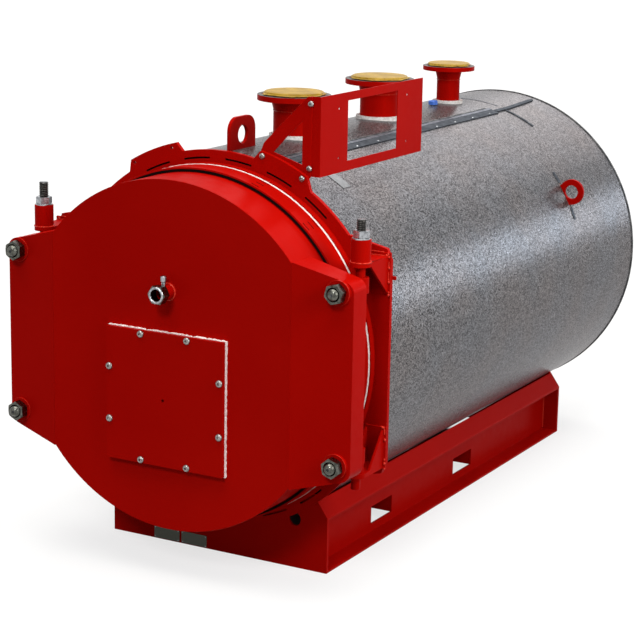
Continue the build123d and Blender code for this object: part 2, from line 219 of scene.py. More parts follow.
def plain_sheet():
    f = Finish("plain galvanised sheet", (0.20, 0.21, 0.235), metallic=1.0, roughness=0.36)
    f.tint(0.55, 0.55, 0.58)
    spangle = f.cell_colours(70)["Green"]
    f.link(f.mix(spangle, (0.14, 0.15, 0.17), (0.26, 0.275, 0.30)), "Base Color")
    f.rough(90, 3, 0.30, 0.46)
    f.grain(60, 2, 0.0003, 0.4)
    return f.material


def pale_sheet():
    f = Finish("pale strip", (0.20, 0.21, 0.22), metallic=0.6, roughness=0.45)
    f.mottled(70, 3, 0.3, 0.7, (0.17, 0.18, 0.19), (0.23, 0.24, 0.25))
    return f.material


def darker_sheet():
    f = Finish("darker galvanised sheet", (0.09, 0.10, 0.11), metallic=1.0, roughness=0.5)
    f.tint(0.45, 0.46, 0.48)
    f.mottled(55, 4, 0.3, 0.7, (0.055, 0.06, 0.068), (0.12, 0.13, 0.145))
    f.grain(60, 2, 0.0003, 0.4)
    return f.material


def clamp_steel():
    f = Finish("tarnished steel", (0.075, 0.078, 0.068), metallic=1.0, roughness=0.25)
    f.mottled(85, 4, 0.35, 0.7, (0.125, 0.128, 0.112), (0.035, 0.036, 0.030))
    f.rough(160, 3, 0.16, 0.36)
    f.grain(500, 3, 0.0002, 0.5)
    return f.material


def black_stud():
    f = Finish("black oxide steel", (0.04, 0.038, 0.036), metallic=0.9, roughness=0.26)
    f.mottled(240, 3, 0.4, 0.75, (0.022, 0.021, 0.021), (0.10, 0.095, 0.088))
    f.grain(700, 2, 0.0001, 0.4)
    return f.material


def zinc_plate():
    f = Finish("bright zinc plate", (0.34, 0.35, 0.37), metallic=1.0, roughness=0.24)
    f.mottled(120, 3, 0.35, 0.7, (0.42, 0.435, 0.46), (0.19, 0.20, 0.21))
    f.rough(220, 3, 0.18, 0.36)
    return f.material


def screw_steel():
    f = Finish("greyed screw steel", (0.24, 0.235, 0.225), metallic=1.0, roughness=0.3)
    f.mottled(260, 3, 0.35, 0.7, (0.34, 0.33, 0.32), (0.12, 0.115, 0.11))
    return f.material


def glass_rope():
    f = Finish("white glass rope", (0.66, 0.60, 0.58), roughness=0.9, specular=0.1)
    f.mottled(160, 4, 0.3, 0.7, (0.48, 0.40, 0.38), (0.80, 0.76, 0.75))
    f.grain(160, 4, 0.002, 0.8)
    return f.material


def fibre_board():
    f = Finish("white fibre board", (0.90, 0.88, 0.86), roughness=0.95, specular=0.1)
    f.mottled(190, 4, 0.40, 0.75, (0.95, 0.94, 0.93), (0.74, 0.66, 0.62))
    f.grain(350, 4, 0.0014, 0.8)
    return f.material


def yellow_cover():
    f = Finish("yellow cover plastic", (0.44, 0.28, 0.03), roughness=0.45, specular=0.2)
    smudge = f.spread(f.noise(22, 5), 0.38, 0.66)
    tone = f.mix(smudge, (0.41, 0.255, 0.022), (0.27, 0.160, 0.009))
    marks = f.spread(f.noise(75, 5, f.stretched((1.0, 2.6, 1.0))), 0.58, 0.66)
    f.link(f.mix(marks, tone, (0.20, 0.10, 0.012)), "Base Color")
    f.grain(45, 3, 0.0016, 0.8)
    return f.material


def blue_cap():
    f = Finish("blue cap plastic", (0.03, 0.12, 0.50), roughness=0.4)
    f.mottled(90, 3, 0.35, 0.7, (0.035, 0.14, 0.56), (0.02, 0.085, 0.38))
    return f.material


def bare_flange():
    f = Finish("bare flange steel", (0.10, 0.095, 0.09), metallic=0.8, roughness=0.5)
    f.mottled(60, 5, 0.35, 0.7, (0.13, 0.125, 0.12), (0.05, 0.042, 0.038))
    f.grain(400, 3, 0.0003, 0.5)
    return f.material


def furnace_steel():
    f = Finish("furnace steel", (0.06, 0.055, 0.05), metallic=0.6, roughness=0.62)
    f.mottled(14, 6, 0.35, 0.68, (0.075, 0.07, 0.066), (0.11, 0.06, 0.035))
    f.grain(120, 5, 0.0012, 0.6)
    return f.material


def door_lining():
    f = Finish("cast door lining", (0.52, 0.47, 0.40), roughness=0.95, specular=0.15)
    f.mottled(9, 6, 0.35, 0.7, (0.56, 0.51, 0.44), (0.40, 0.35, 0.29))
    pits = f.bump(f.cells(150), 0.002, 0.35)
    f.grain(60, 6, 0.003, 0.7, pits)
    return f.material


def mineral_wool():
    f = Finish("white mineral wool", (0.78, 0.75, 0.72), roughness=1.0, specular=0.05)
    f.mottled(120, 5, 0.35, 0.7, (0.84, 0.82, 0.80), (0.62, 0.57, 0.53))
    f.grain(240, 5, 0.003, 0.9)
    return f.material


# Bare brushed plate metal, its tone darkened as painted shade for the plates' place under the door
def shaded_plate_metal():
    f = Finish("rating plate with painted shade", (0.10, 0.105, 0.085), metallic=0.4, roughness=0.5, specular=0.2)
    brushed = f.spread(f.noise(160, 3, f.stretched((1.0, 1.0, 26.0))), 0.3, 0.7)
    f.link(f.mix(brushed, (0.095, 0.10, 0.08), (0.055, 0.058, 0.046)), "Base Color")
    return f.material


# Painted shade: a near-black look put where slots and gaps lie in shade
def painted_slot_shade():
    f = Finish("painted slot shade", (0.006, 0.005, 0.005), roughness=0.95, specular=0.0)
    f.link(f.mix(f.noise(90, 3), (0.004, 0.003, 0.003), (0.010, 0.007, 0.007)), "Base Color")
    return f.material


# Dark trim, also used as painted shade in the drilled centres of the clamp rods
def dark_trim_and_shade():
    f = Finish("dark trim and painted shade", (0.05, 0.053, 0.055), metallic=0.3, roughness=0.45, specular=0.2)
    f.mottled(30, 4, 0.45, 0.66, (0.025, 0.027, 0.03), (0.16, 0.16, 0.16))
    return f.material


RED, WELD, STUCCO = red_paint(), weld_paint(), stucco_sheet()
SHEET, PALE_SHEET, DARKER_SHEET, PLATE, TRIM_AND_SHADE = plain_sheet(), pale_sheet(), darker_sheet(), shaded_plate_metal(), dark_trim_and_shade()
CLAMP, STUD, ZINC, SCREW = clamp_steel(), black_stud(), zinc_plate(), screw_steel()
ROPE, BOARD, COVER, CAP, PAINTED_SHADE = glass_rope(), fibre_board(), yellow_cover(), blue_cap(), painted_slot_shade()
FLANGE_FACE, FURNACE_STEEL, LINING, WOOL = bare_flange(), furnace_steel(), door_lining(), mineral_wool()


# Making and finishing pieces
def placed(name, data):
    """A new object in the scene."""
    made = bpy.data.objects.new(name, data)
    bpy.context.scene.collection.objects.link(made)
    return made


def finished(bm, name, body, finish, node=None, sharp=SMOOTH_BELOW, weighted=True):
    """A piece from a bmesh whose faces are first turned outwards."""
    bmesh.ops.recalc_face_normals(bm, faces=bm.faces)
    kept(bm, name, body, finish, node, sharp, weighted)


def kept(bm, name, body, finish, node=None, sharp=SMOOTH_BELOW, weighted=True):
    """A piece from a bmesh, with smooth faces and sharp creases, riding on a body."""
    limit = math.radians(sharp)
    for face in bm.faces:
        face.smooth = True
    for edge in bm.edges:
        edge.smooth = edge.is_manifold and edge.calc_face_angle(0.0) < limit
    mesh = bpy.data.meshes.new(name)
    bm.to_mesh(mesh)
    bm.free()
    piece = placed(name, mesh)
    for material in finish if isinstance(finish, list) else [finish]:
        mesh.materials.append(material)
    if weighted:
        even = piece.modifiers.new("even shading", "WEIGHTED_NORMAL")
        even.keep_sharp = True
    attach(piece, body)
    if node:
        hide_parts(node)


def corner_edges(bm, angle):
    """The edges at which two faces meet at more than an angle."""
    return [e for e in bm.edges if e.is_manifold and e.calc_face_angle(0.0) > math.radians(angle)]


def rounded(bm, edges, radius, steps):
    """The given edges rounded, by so much and in so many steps."""
    bmesh.ops.bevel(bm, geom=edges, offset=radius, offset_type="OFFSET", affect="EDGES", segments=steps,
                    profile=0.5, material=-1, clamp_overlap=True)


def dressed(node, body, finish, edge, pick=None):
    """A merged copy of a CAD node that stands for it. Edge is its rounding in millimetres."""
    bm = bmesh.new()
    bm.from_mesh(nodes[node].data)
    bmesh.ops.remove_doubles(bm, verts=bm.verts, dist=CAD_MERGE)
    bmesh.ops.dissolve_limit(bm, angle_limit=math.radians(FLAT_WITHIN), use_dissolve_boundaries=False,
                             verts=bm.verts, edges=bm.edges)
    if edge:
        rounded(bm, corner_edges(bm, ROUND_ABOVE), edge / 1000, 2)
    if pick:
        for face in bm.faces:
            face.material_index = pick(face)
    kept(bm, node + "_dressed", body, finish, node)


def turned(profile, base, axis="Z", steps=48):
    """A bmesh turned from (radius, height) points in metres, about a line through base."""
    bm = bmesh.new()
    along = Vector((0, 0, 1)) if axis == "Z" else Vector((0, 1, 0))
    out = Vector((1, 0, 0))
    verts = [bm.verts.new(base + out * r + along * h) for r, h in profile]
    edges = [bm.edges.new((a, b)) for a, b in zip(verts, verts[1:])]
    if profile[0][0] > SAME_PLACE and profile[-1][0] > SAME_PLACE:
        edges.append(bm.edges.new((verts[-1], verts[0])))
    bmesh.ops.spin(bm, geom=verts + edges, cent=base, axis=along, angle=math.tau, steps=steps,
                   use_merge=True)
    bmesh.ops.remove_doubles(bm, verts=bm.verts, dist=SAME_PLACE)
    return bm


def plain_ring(bore, outer, height):
    """Profile of a ring with square corners."""
    return [(bore, 0), (outer, 0), (outer, height), (bore, height)]


def collar(bore, outer, height, across, down):
    """Profile of a ring whose outer corners are cut off by so much across and down."""
    return [(bore, 0), (outer - across, 0), (outer, down), (outer, height - down),
            (outer - across, height), (bore, height)]


def thread(radius, start, end, pitch, depth):
    """Profile of a threaded length, as grooves with a narrow land between them."""
    land = 0.12
    points = []
    count = max(1, round((end - start) / pitch))
    step = (end - start) / count
    for k in range(count):
        points += [(radius, start + step * (k + land)), (radius - depth, start + step * (k + 0.5)),
                   (radius, start + step * (k + 1 - land))]
    return points


def cut(bm, tool, operation):
    """Boolean of two bmeshes, by modifier, with the result as a new bmesh."""
    made = []
    for source in (bm, tool):
        mesh = bpy.data.meshes.new("blank")
        bmesh.ops.recalc_face_normals(source, faces=source.faces)
        source.to_mesh(mesh)
        source.free()
        made.append(placed("blank", mesh))
    step = made[0].modifiers.new("cut", "BOOLEAN")
    step.operation, step.object, step.solver = operation, made[1], "EXACT"
    bpy.context.view_layer.update()
    result = bmesh.new()
    result.from_object(made[0], bpy.context.evaluated_depsgraph_get())
    for blank in made:
        mesh = blank.data
        bpy.data.objects.remove(blank)
        bpy.data.meshes.remove(mesh)
    return result


TILTS = {"Z": 0, "Y": -90, "-Y": 90}


def moved(bm, base, axis="Z"):
    """A bmesh made upright at the origin, tipped to point along the axis and set on its base."""
    turn = Matrix.Rotation(math.radians(TILTS[axis]), 4, "X")
    bmesh.ops.transform(bm, matrix=Matrix.Translation(base) @ turn, verts=bm.verts)
    return bm


def block(size):
    """A box of the given size about the origin."""
    bm = bmesh.new()
    bmesh.ops.create_cube(bm, size=1.0)
    bmesh.ops.scale(bm, vec=size, verts=bm.verts)
    return bm


def front_plate(size, place, radius, steps):
    """A plate that faces front, with the corners of its face rounded."""
    bm = block(size)
    corners = [e for e in bm.edges if abs((e.verts[0].co - e.verts[1].co).y) > SAME_PLACE]
    rounded(bm, corners, radius, steps)
    bmesh.ops.translate(bm, vec=place, verts=bm.verts)
    return bm


def hexagon(radius, depth, turn, middle):
    """Upright six-sided bar about the given height."""
    bm = bmesh.new()
    bmesh.ops.create_cone(bm, cap_ends=True, segments=6, radius1=radius, radius2=radius, depth=depth)
    spin = Matrix.Rotation(math.radians(turn), 4, "Z")
    bmesh.ops.transform(bm, matrix=Matrix.Translation((0, 0, middle)) @ spin, verts=bm.verts)
    return bm


def hex_nut(flats, height, bore, turn, dish=0.003):
    """Upright hexagon nut at the origin, with chamfered corners and a dished bore."""
    corner = flats / math.sqrt(3)
    beyond = corner * 1.01
    face_r = flats / 2 * 0.95
    drop = (corner - face_r) * 0.5
    shape = turned([(bore, dish), (bore + dish, 0), (face_r, 0), (beyond, drop), (beyond, height - drop),
                    (face_r, height), (bore + dish, height), (bore, height - dish)], Vector((0, 0, 0)))
    return cut(hexagon(corner, height, turn + 30, height / 2), shape, "INTERSECT")


def button_screw(radius, height, turn=0.0):
    """Upright domed screw head at the origin with a hexagon socket."""
    dome = turned([(0, 0), (radius, 0), (radius, height * 0.25), (radius * 0.94, height * 0.55),
                   (radius * 0.76, height * 0.88), (radius * 0.56, height), (0, height)],
                  Vector((0, 0, 0)), steps=32)
    socket = hexagon(radius * 0.40, height, turn, height * 0.8)
    return cut(dome, socket, "DIFFERENCE")


def lumps(places, radius):
    """Small solidified drops of weld metal, each of its own size and length."""
    drops = []
    for place in places:
        drop = bmesh.new()
        bmesh.ops.create_icosphere(drop, subdivisions=2, radius=radius * rng.uniform(0.8, 1.15))
        bmesh.ops.scale(drop, vec=(1.0, 0.75, rng.uniform(1.0, 1.5)), verts=drop.verts)
        bmesh.ops.translate(drop, vec=place, verts=drop.verts)
        drops.append(drop)
    return drops


def joined(pieces):
    """Several bmeshes as one."""
    whole = bmesh.new()
    for bm in pieces:
        mesh = bpy.data.meshes.new("part")
        bm.to_mesh(mesh)
        bm.free()
        whole.from_mesh(mesh)
        bpy.data.meshes.remove(mesh)
    return whole


BEAD_PITCH = 0.005
SWELL, PINCH = 1.12, 0.86


def bead(path, radius, closed=False):
    """A weld bead along a path, swept from a round section that swells and shrinks."""
    points = []
    ends = path + [path[0]] if closed else path
    for a, b in zip(ends, ends[1:]):
        count = max(1, round((b - a).length / (BEAD_PITCH / 2)))
        points += [a.lerp(b, k / count) for k in range(count)]
    if not closed:
        points.append(ends[-1])
    line = bpy.data.curves.new("bead", "CURVE")
    line.dimensions = "3D"
    line.bevel_depth = radius
    line.bevel_resolution = 1
    line.use_fill_caps = not closed
    run = line.splines.new("POLY")
    run.points.add(len(points) - 1)
    run.use_cyclic_u = closed
    for k, (spot, place) in enumerate(zip(run.points, points)):
        spot.co = (*place, 1)
        spot.radius = (SWELL if k % 2 else PINCH) * rng.uniform(0.9, 1.1)
    holder = bpy.data.objects.new("bead", line)
    mesh = bpy.data.meshes.new_from_object(holder)
    bm = bmesh.new()
    bm.from_mesh(mesh)
    bpy.data.objects.remove(holder)
    bpy.data.curves.remove(line)
    bpy.data.meshes.remove(mesh)
    return bm


def ring_bead(centre, ring_r, radius, axis="Y", count=40):
    """A closed bead round a circle, which lies flat for axis Z or else faces front."""
    path = []
    for k in range(count):
        a = math.tau * k / count
        u, v = ring_r * math.cos(a), ring_r * math.sin(a)
        path.append(centre + (Vector((u, v, 0)) if axis == "Z" else Vector((u, 0, v))))
    return bead(path, radius, True)


def weld(bm, name, body):
    """A piece of painted weld metal."""
    finished(bm, name, body, WELD, weighted=False)


# Red nodes, with the rounding in millimetres that the edges of their plates have
RED_BODY = {"base_front_plate": 0.8, "base_rear_plate": 0.8, "base_beam_left": 1.2, "base_beam_right": 1.2,
            "fork_pocket_front": 0.8, "fork_pocket_rear": 0.8, "control_gusset": 0.5, "control_plate": 0.5,
            "lifting_eye_front": 0.8, "lifting_eye_left": 0.8, "lifting_eye_right": 0.8,
            "hinge_bracket_left_upper": 0.8, "hinge_bracket_left_lower": 0.8,
            "hinge_bracket_right_upper": 0.8, "hinge_bracket_right_lower": 0.8}
RED_DOOR = {"door_face": 1.0, "door_band": 0.8, "door_frame": 0.8, "door_ear_left": 1.5,
            "door_ear_right": 1.5, "burner_plate": 1.0}
for body, edges in ((BODY, RED_BODY), (DOOR, RED_DOOR)):
    for node, edge in edges.items():
        dressed(node, body, RED, edge)

# How far a slot's wall lies from RING_SLOT_R, and how far back the insulation's front end is sought
WALL_REACH = 0.006
FRONT_END = 0.32


def slot_wall(face):
    """The walls of the ring plate's slots get the second look, painted shade that makes the slots read dark.
    """
    centre = face.calc_center_median()
    radius = math.hypot(centre.x, centre.z - AXIS)
    return 1 if abs(face.normal.y) < 0.3 and abs(radius - RING_SLOT_R) < WALL_REACH else 0


def sheet_end(face):
    """The front end of the insulation gets the second look, painted shade that shows dark through those
    slots.
    """
    return 1 if face.normal.y < -0.9 and face.calc_center_median().y < DOOR_FACE + FRONT_END else 0


# The slot walls and the insulation's front end take painted shade
dressed("front_ring_plate", BODY, [RED, PAINTED_SHADE], 0.8, pick=slot_wall)
dressed("tube_sheet", BODY, FURNACE_STEEL, 0.8)
dressed("furnace_tube", BODY, FURNACE_STEEL, 0.8)
dressed("pressure_shell", BODY, FURNACE_STEEL, 0)
dressed("rear_head", BODY, FURNACE_STEEL, 0)
dressed("door_insulation", DOOR, LINING, 2.0)
dressed("burner_throat", DOOR, LINING, 1.5)
dressed("shell_insulation", BODY, [WOOL, PAINTED_SHADE], 2.5, pick=sheet_end)
dressed("cladding", BODY, STUCCO, 0)
dressed("rear_panel", BODY, STUCCO, 0.5)
dressed("flue_spigot", BODY, SHEET, 0.5)


# Nozzles, with bare faces under the covers and a seam further down
BARE_DEPTH = 0.0045
SEAM_DROP = 0.056
COVER_STEPS = 96

# The rim of a cover is bitten at random, in seven waves, and most at two worn stretches
BITE, SCATTER, WAVE, WORN, DEEPEST_BITE = 0.0045, 0.003, 0.004, 0.015, 0.018


def nozzle(name, back, flange_r, neck_r):
    """A flanged neck with its seam, and a plastic cover whose rim is ragged."""
    def pick(face):
        return 1 if face.normal.z > 0.9 and face.calc_center_median().z > FLANGE_TOP - BARE_DEPTH else 0

    dressed("nozzle_" + name, BODY, [RED, FLANGE_FACE], 0.8, pick=pick)
    seam = ring_bead(at(0, back, FLANGE_TOP - SEAM_DROP), neck_r, radius=0.0016, axis="Z", count=56)
    weld(seam, f"nozzle_{name}_seam", BODY)
    wide = flange_r - 0.003
    disc = flange_r * 0.80
    thick, top = 0.0020, 0.0086
    lid = turned([(0, 0.0003), (wide - 0.001, 0.0002), (wide, thick / 2), (wide - 0.001, thick - 0.0002),
                  (disc + 0.002, thick), (disc, 0.0068), (disc - 0.004, top), (disc * 0.6, 0.0078),
                  (0, top)], at(0, back, FLANGE_TOP), steps=COVER_STEPS)
    angles = [math.tau * k / COVER_STEPS for k in range(COVER_STEPS)]
    bites = [rng.gauss(BITE, SCATTER) + WAVE * math.sin(7 * a + 1) + WORN * math.cos(a - 0.50) ** 4
             for a in angles]
    for vert in lid.verts:
        away = Vector((vert.co.x, vert.co.y - DOOR_FACE - back, 0))
        if away.length > wide - 0.004:
            step = round(math.atan2(away.y, away.x) / math.tau * COVER_STEPS) % COVER_STEPS
            vert.co -= away.normalized() * min(max(bites[step], 0.0), DEEPEST_BITE)
    finished(lid, f"nozzle_{name}_lid", BODY, COVER, "nozzle_cover_" + name)


for name, (back, flange_r, neck_r) in NOZZLES.items():
    nozzle(name, back, flange_r, neck_r)


def sensor_cap():
    radius, side, top, place = 0.018, 0.011, 0.018, at(0, 1.846, 1.341)
    cap = turned([(0, 0), (radius, 0), (radius, side), (0.0172, 0.0135), (0.015, 0.0155), (0, top)], place)
    finished(cap, "sensor_cap_lid", BODY, CAP, "sensor_cap")


sensor_cap()


# Hinge pins with their nuts, and the eye bolts
STUD_R = 0.0155
STUD_BORE = 0.0154
WASHER_R = 0.028
WASHER_THICK = 0.004
COLLAR_R = 0.024
TAIL_R = 0.0145


def upper_pin(side, x, low, seat, top, turn):
    """A pin from low up to the bracket, with a threaded end, a washer on the seat and a nut."""
    foot = at(x, PIN_BACK, 0)
    start, point_length = seat - 0.004, 0.004
    shaft = turned([(0, low), (PIN_R - 0.002, low), (PIN_R, low + 0.002), (PIN_R, start), (0, start)], foot)
    finished(shaft, f"pin_shaft_{side}_upper", BODY, RED, f"hinge_pin_{side}_upper")
    point = [(0.0153, top - 0.003), (0.0128, top), (0.004, top), (0, top - 0.0015)]
    grooves = thread(STUD_R, start, top - point_length, pitch=0.0060, depth=0.0024)
    stud = turned([(0, start)] + grooves + point, foot)
    finished(stud, f"pin_stud_{side}", BODY, STUD)
    end = turned([(0, top + 0.0002), (0.0120, top + 0.0002), (0.0128, top - 0.0004), (0, top - 0.0004)],
                 foot, steps=32)
    finished(end, f"pin_stud_end_{side}", BODY, ZINC)
    nut = hex_nut(flats=0.046, height=0.024, bore=STUD_BORE, turn=turn, dish=0.002)
    finished(moved(nut, at(x, PIN_BACK, seat + WASHER_THICK)), f"pin_nut_{side}", BODY, ZINC)
    ring = collar(STUD_BORE, WASHER_R, WASHER_THICK, across=0.0005, down=0.0006)
    washer = turned(ring, at(x, PIN_BACK, seat))
    finished(washer, f"pin_washer_{side}", BODY, ZINC)


def lower_pin(side, x, shoulder, top):
    """A pin with a thinner tail below its bracket, and a thrust collar on it up to the shoulder."""
    tail, shelf, seat = 0.359, 0.399, 0.414
    shaft = turned([(0, tail), (0.0130, tail), (TAIL_R, tail + 0.0015), (TAIL_R, shelf), (PIN_R, shelf),
                    (PIN_R, seat), (COLLAR_R - 0.0008, seat), (COLLAR_R, seat + 0.0015),
                    (COLLAR_R, shoulder - 0.002), (COLLAR_R - 0.002, shoulder), (PIN_R, shoulder),
                    (PIN_R, top - 0.002), (PIN_R - 0.002, top), (0, top)], at(x, PIN_BACK, 0))
    finished(shaft, f"pin_shaft_{side}_lower", BODY, RED, f"hinge_pin_{side}_lower")


def eye_bolt(side, level, x, z, turn):
    """A swing bolt: a threaded rod with its nuts, an eye round the pin and their welds."""
    mouth, reach, rod_r = -0.027, 0.161, 0.018
    tip = [(0, 0.006), (0.0030, 0.0018), (0.0050, 0.0006), (0.0070, 0), (0.0094, 0), (0.0122, 0.0012),
           (0.0148, 0.0034), (0.0165, 0.0060)]
    grooves = thread(rod_r - 0.0004, 0.007, 0.071, pitch=0.004, depth=0.0018)
    shank = [(rod_r, 0.073), (rod_r, reach), (0, reach)]
    rod = turned(tip + grooves + shank, at(x, mouth, z), "Y")
    finished(rod, f"clamp_rod_{side}_{level}", DOOR, CLAMP, sharp=50.0)
    # The drilled centre takes the dark look: painted shade in the recess
    drill_r, drill_depth = 0.0050, 0.0022
    drilled = turned([(0, 0.0006), (0.0044, 0.0006), (drill_r, 0.0011), (drill_r, drill_depth),
                      (0, drill_depth)], at(x, mouth, z), "Y")
    finished(drilled, f"clamp_rod_centre_{side}_{level}", DOOR, TRIM_AND_SHADE)
    nut = moved(hex_nut(flats=0.056, height=0.029, bore=0.0198, turn=turn, dish=0.0025),
                at(x, -0.015, z), "Y")
    finished(nut, f"clamp_nut_{side}_{level}", DOOR, CLAMP)
    back_nut = moved(hex_nut(flats=0.055, height=0.018, bore=0.0184, turn=turn + 20), at(x, 0.040, z), "Y")
    finished(back_nut, f"clamp_back_nut_{side}_{level}", DOOR, CLAMP)
    height = 0.05
    ring = collar(PIN_R + 0.00005, 0.027, height, across=0.0015, down=0.0015)
    eye = turned(ring, at(x, PIN_BACK, z - height / 2), steps=56)
    finished(eye, f"clamp_eye_{side}_{level}", DOOR, RED, f"eye_bolt_{side}_{level}")
    weld(ring_bead(at(x, 0.1345, z), 0.0185, radius=0.003), f"clamp_eye_weld_{side}_{level}", DOOR)
    weld(ring_bead(at(x, 0.0150, z), 0.0385, radius=0.0010, count=48), f"boss_edge_{side}_{level}", DOOR)


# The left pins are drawn clear of their eyes
upper_pin("right", PIN_X, low=0.974, seat=1.146, top=1.207, turn=44)
upper_pin("left", -PIN_X, low=1.037, seat=1.132, top=1.208, turn=44)
lower_pin("right", PIN_X, shoulder=0.4428, top=0.499)
lower_pin("left", -PIN_X, shoulder=0.431, top=0.435)
for side, x, turns in (("right", PIN_X, (45, 20)), ("left", -PIN_X, (30, 28))):
    for (level, z), turn in zip(CLAMP_LEVELS.items(), turns):
        eye_bolt(side, level, x, z, turn)


# Sight port with its valve
def sight_port():
    z, mouth, bore = SIGHT_LEVEL, -0.068, 0.0185
    tube = turned(plain_ring(bore, outer=0.0245, height=0.185), at(0, -0.036, z), "Y", 64)
    finished(tube, "sight_tube", DOOR, RED, "sight_port")
    socket = moved(hex_nut(flats=0.055, height=0.032, bore=0.0188, turn=2, dish=0.002), at(0, mouth, z), "Y")
    finished(socket, "sight_socket", DOOR, CLAMP)
    lip_r = 0.0190
    lip = turned([(lip_r, 0), (0.0200, -0.0018), (0.0225, -0.0030), (0.0250, -0.0022), (0.0268, 0),
                  (0.0272, 0.003), (lip_r, 0.003)], at(0, mouth, z), "Y", 56)
    finished(lip, "sight_lip", DOOR, ZINC)
    weld(ring_bead(at(0, -0.0005, z), 0.0262, radius=0.0034, count=44), "sight_weld", DOOR)
    stem, knob, neck, head, top = 0.005, 0.0072, 0.0056, 0.0095, 0.0305
    valve = turned([(0, 0), (stem, 0), (stem, 0.004), (knob, 0.0045), (knob, 0.0105), (neck, 0.0115),
                    (neck, 0.0135), (head, 0.0140), (head, 0.0290), (0.0083, top), (0, top)],
                   at(0, -0.025, z + 0.0235), steps=40)
    finished(valve, "sight_valve_body", DOOR, ZINC, "sight_valve")


sight_port()


# Burner plate screws and the ragged board under the plate
PLATE_FACE = -0.025
FAR_SCREW, NEAR_SCREW = 0.205, 0.086


def burner_screws():
    heads = []
    for a, b in ((FAR_SCREW, NEAR_SCREW), (NEAR_SCREW, FAR_SCREW)):
        for i in (1, -1):
            for j in (1, -1):
                place = at(a * i, PLATE_FACE, FURNACE + b * j)
                head = button_screw(radius=0.0118, height=0.0075, turn=rng.uniform(0, 60))
                heads.append(moved(head, place, "-Y"))
    finished(joined(heads), "burner_screws", DOOR, SCREW, weighted=False)


def burner_board():
    """The board between plate and door, with a ragged edge, two notches and a round hole."""
    half, thick, hole_r, ragged = 0.2195, 0.010, 0.150, 0.0014
    notches, notch_half, notch_depth = (0.095, -0.077), 0.005, 0.009
    bm = block((half * 2, thick - 0.0004, half * 2))
    bmesh.ops.translate(bm, vec=at(0, -thick / 2, FURNACE), verts=bm.verts)
    long_edges = [e for e in bm.edges if abs((e.verts[0].co - e.verts[1].co).y) < SAME_PLACE]
    bmesh.ops.subdivide_edges(bm, edges=long_edges, cuts=70, use_grid_fill=False)
    hole = turned([(0, -2 * thick), (hole_r, -2 * thick), (hole_r, 2 * thick), (0, 2 * thick)],
                  at(0, -thick / 2, FURNACE), "Y", 72)
    for vert in bm.verts:
        x, z = vert.co.x, vert.co.z - FURNACE
        if abs(abs(x) - half) < CAD_MERGE:
            vert.co.x -= math.copysign(abs(rng.gauss(0, ragged)), x)
        if abs(abs(z) - half) < CAD_MERGE:
            notched = z > 0 and min(abs(x - middle) for middle in notches) < notch_half
            vert.co.z -= notch_depth if notched else math.copysign(abs(rng.gauss(0, ragged)), z)
    board = cut(bm, hole, "DIFFERENCE")
    finished(board, "burner_board", DOOR, BOARD, "burner_gasket", weighted=False)


burner_screws()
burner_board()


# Rope seal, with the swell of its plait
def rope_seal():
    middle, radius, back = 0.5700, 0.0090, 0.2524
    sides, plaits, wave, scatter, largest = 12, 120, 0.06, 0.05, 1.02
    section = [(middle + radius * math.cos(a), back + radius * math.sin(a))
               for a in [math.tau * k / sides for k in range(sides)]]
    bm = turned(section, at(0, 0, AXIS), "Y", 3 * plaits)
    for vert in bm.verts:
        around = math.atan2(vert.co.z - AXIS, vert.co.x)
        centre = polar(middle, math.degrees(around), back)
        swell = 1 + wave * math.sin(around * plaits) + rng.uniform(-scatter, scatter)
        vert.co = centre + (vert.co - centre) * min(swell, largest)
    finished(bm, "rope_seal", DOOR, ROPE, "door_gasket", weighted=False)


rope_seal()


# Cladding details: cable channel with its tail and rivets, strips, rim and slit covers
CHANNEL_START, CHANNEL_END = 0.330, 2.020
CHANNEL_FOOT, CHANNEL_TOP = 0.6092, 0.6150
STRIP_CORNER = 45.8


def strip(name, radius_in, radius_out, start, end, back0, back1, finish, steps, edge=0.0008):
    """A curved strip that follows the cladding between two angles, with rounded corners."""
    bm = bmesh.new()
    corners = [bm.verts.new(polar(r, start, b)) for r, b in
               ((radius_in, back0), (radius_out, back0), (radius_out, back1), (radius_in, back1))]
    face = bm.faces.new(corners)
    bmesh.ops.spin(bm, geom=[face], cent=at(0, 0, AXIS), axis=(0, -1, 0), angle=math.radians(end - start),
                   steps=steps, use_merge=False)
    bmesh.ops.recalc_face_normals(bm, faces=bm.faces)
    rounded(bm, corner_edges(bm, STRIP_CORNER), edge, 2)
    finished(bm, name, BODY, finish)


def ribbon(name, path, width, low, high, finish):
    """A flat bar on the cladding through places given as (X, distance behind the door face)."""
    parts, end_width = 8, 0.55
    spots = []
    for a, b in zip(path, path[1:]):
        spots += [Vector(a).lerp(Vector(b), k / parts) for k in range(parts)]
    spots.append(Vector(path[-1]))
    last = len(spots) - 1
    bm = bmesh.new()
    rings = []
    for k, spot in enumerate(spots):
        run = (spots[min(k + 1, last)] - spots[max(k - 1, 0)]).normalized()
        half = width / 2 * (end_width if k in (0, last) else 1.0)
        ring = []
        for aside, radius in ((-half, low), (half, low), (half, high), (-half, high)):
            x, back = spot.x - run.y * aside, spot.y + run.x * aside
            angle = math.acos(max(-1.0, min(1.0, x / CLADDING_R)))
            ring.append(bm.verts.new(polar(radius, math.degrees(angle), back)))
        rings.append(ring)
    for one, two in zip(rings, rings[1:]):
        for k in range(4):
            bm.faces.new((one[k], one[(k + 1) % 4], two[(k + 1) % 4], two[k]))
    bm.faces.new(rings[0])
    bm.faces.new(rings[-1])
    finished(bm, name, BODY, finish)


def on_x(degrees):
    """X of the cladding's surface at an angle."""
    return CLADDING_R * math.cos(math.radians(degrees))


